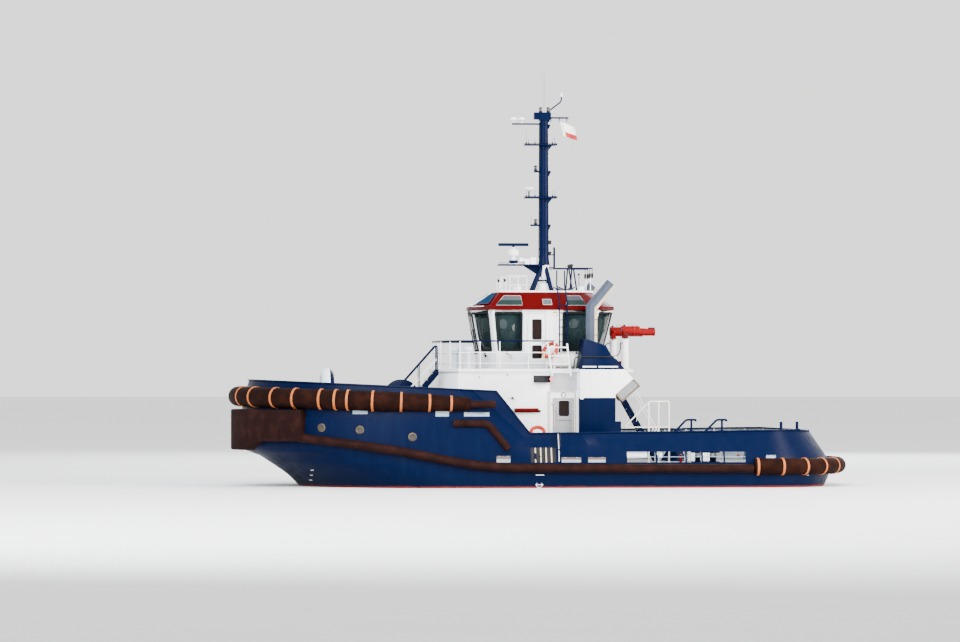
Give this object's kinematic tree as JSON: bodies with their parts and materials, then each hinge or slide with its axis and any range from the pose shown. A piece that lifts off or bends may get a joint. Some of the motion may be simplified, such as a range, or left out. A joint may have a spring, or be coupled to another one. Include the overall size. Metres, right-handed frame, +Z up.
{
  "type": "harbour tug",
  "caption": "Harbour tug with heavy bow fendering, a two-level white house with a windowed wheelhouse, a tall pole mast, twin funnels with fire monitors, and two steerable thrusters.",
  "frame": {"origin": "on the centreline amidships, at the waterline", "axes": "+X towards the bow, +Y to port, +Z up"},
  "size_m": [24.46, 11.3, 21.15],
  "materials": {
    "navy_paint": "semi-gloss navy marine enamel",
    "fender_rubber": "weathered dark brown-black rubber",
    "white_paint": "semi-gloss white marine enamel",
    "raft_shell": "white moulded glass-fibre shell",
    "red_paint": "gloss red marine enamel",
    "bare_steel": "worn bare and grey-painted steel",
    "window_glass": "tinted toughened glass",
    "dark_trim": "dark grey trim and upholstery",
    "scanner_plastic": "navy moulded plastic",
    "bronze": "cast propeller bronze"
  },
  "bodies": {
    "ship": {"hull": "navy_paint", "bulwark": "navy_paint", "mast": "navy_paint", "roof_gantry": "navy_paint", "fore_stair": "navy_paint", "towing_posts": "navy_paint", "roof_ladder": "navy_paint", "funnel_casing_port": "navy_paint", "funnel_casing_starboard": "navy_paint", "fore_bitts_port": "navy_paint", "fore_bitts_starboard": "navy_paint", "bow_fender": "fender_rubber", "bow_block_fender": "fender_rubber", "stern_fender": "fender_rubber", "side_fender_port": "fender_rubber", "side_fender_starboard": "fender_rubber", "crank_fender_port": "fender_rubber", "crank_fender_starboard": "fender_rubber", "deckhouse": "white_paint", "boat_deck": "white_paint", "wheelhouse": "white_paint", "radar_housing": "white_paint", "roof_rail": "white_paint", "boat_deck_rail": "white_paint", "winch_frame": "white_paint", "bow_staple": "white_paint", "hatch_coaming": "white_paint", "aft_frame": "white_paint", "side_ladder": "white_paint", "monitor_pedestal_port": "white_paint", "monitor_pedestal_starboard": "white_paint", "life_raft_port": "raft_shell", "life_raft_starboard": "raft_shell", "wheelhouse_roof": "red_paint", "exhaust_duct_port": "bare_steel", "exhaust_duct_starboard": "bare_steel", "windows_fore": "window_glass", "windows_aft": "window_glass", "helm_console": "dark_trim", "helm_chair": "dark_trim", "aft_stair": "dark_trim"},
    "deckhouse_door_port": {"deckhouse_door_port": "white_paint"},
    "wheelhouse_door_port": {"wheelhouse_door_port": "white_paint"},
    "monitor_base_port": {"monitor_swivel_port": "red_paint"},
    "monitor_gun_port": {"monitor_barrel_port": "red_paint"},
    "thruster_unit_port": {"thruster_port": "navy_paint"},
    "screw_port": {"propeller_port": "bronze"},
    "deckhouse_door_starboard": {"deckhouse_door_starboard": "white_paint"},
    "wheelhouse_door_starboard": {"wheelhouse_door_starboard": "white_paint"},
    "monitor_base_starboard": {"monitor_swivel_starboard": "red_paint"},
    "monitor_gun_starboard": {"monitor_barrel_starboard": "red_paint"},
    "thruster_unit_starboard": {"thruster_starboard": "navy_paint"},
    "screw_starboard": {"propeller_starboard": "bronze"},
    "radar_bar": {"radar_scanner": "scanner_plastic"},
    "drum": {"winch_drum": "bare_steel"},
    "capstan": {"capstan_head": "bare_steel"},
    "lid": {"hatch_lid": "white_paint"}
  },
  "joints": [
    {"name": "deckhouse_door_port_hinge", "type": "hinge", "parent": "ship", "child": "deckhouse_door_port", "pos_m": [-0.235, 3.385, 2.4], "axis": [0, 0, -1], "range_deg": [0, 105]},
    {"name": "wheelhouse_door_port_hinge", "type": "hinge", "parent": "ship", "child": "wheelhouse_door_port", "pos_m": [0.62, 2.425, 5.8], "axis": [0, 0, -1], "range_deg": [0, 100]},
    {"name": "monitor_port_train", "type": "hinge", "parent": "ship", "child": "monitor_base_port", "pos_m": [-3.33, 1.75, 5.8], "axis": [0, 0, 1], "range_deg": [-120, 75]},
    {"name": "monitor_port_elevate", "type": "hinge", "parent": "monitor_base_port", "child": "monitor_gun_port", "pos_m": [-3.33, 1.75, 6.1], "axis": [0, 1, 0], "range_deg": [-10, 75]},
    {"name": "thruster_port_steer", "type": "hinge", "parent": "ship", "child": "thruster_unit_port", "pos_m": [-8.6, 2.6, -1.65], "axis": [0, 0, 1], "continuous": true},
    {"name": "screw_port_spin", "type": "hinge", "parent": "thruster_unit_port", "child": "screw_port", "pos_m": [-9.11, 2.6, -3.45], "axis": [1, 0, 0], "continuous": true},
    {"name": "deckhouse_door_starboard_hinge", "type": "hinge", "parent": "ship", "child": "deckhouse_door_starboard", "pos_m": [-0.235, -3.385, 2.4], "axis": [0, 0, 1], "range_deg": [0, 105]},
    {"name": "wheelhouse_door_starboard_hinge", "type": "hinge", "parent": "ship", "child": "wheelhouse_door_starboard", "pos_m": [0.62, -2.425, 5.8], "axis": [0, 0, 1], "range_deg": [0, 100]},
    {"name": "monitor_starboard_train", "type": "hinge", "parent": "ship", "child": "monitor_base_starboard", "pos_m": [-3.33, -1.75, 5.8], "axis": [0, 0, -1], "range_deg": [-120, 75]},
    {"name": "monitor_starboard_elevate", "type": "hinge", "parent": "monitor_base_starboard", "child": "monitor_gun_starboard", "pos_m": [-3.33, -1.75, 6.1], "axis": [0, 1, 0], "range_deg": [-10, 75]},
    {"name": "thruster_starboard_steer", "type": "hinge", "parent": "ship", "child": "thruster_unit_starboard", "pos_m": [-8.6, -2.6, -1.65], "axis": [0, 0, 1], "continuous": true},
    {"name": "screw_starboard_spin", "type": "hinge", "parent": "thruster_unit_starboard", "child": "screw_starboard", "pos_m": [-9.11, -2.6, -3.45], "axis": [1, 0, 0], "continuous": true},
    {"name": "radar_spin", "type": "hinge", "parent": "ship", "child": "radar_bar", "pos_m": [0.89, 0, 9.5], "axis": [0, 0, 1], "continuous": true},
    {"name": "winch_drum_spin", "type": "hinge", "parent": "ship", "child": "drum", "pos_m": [5.35, 0, 3.56], "axis": [0, 1, 0], "continuous": true},
    {"name": "capstan_spin", "type": "hinge", "parent": "ship", "child": "capstan", "pos_m": [-9.6, 0, 1.4], "axis": [0, 0, 1], "continuous": true},
    {"name": "hatch_lid_hinge", "type": "hinge", "parent": "ship", "child": "lid", "pos_m": [-6.1, 0, 1.29], "axis": [0, 1, 0], "range_deg": [0, 90]}
  ]
}
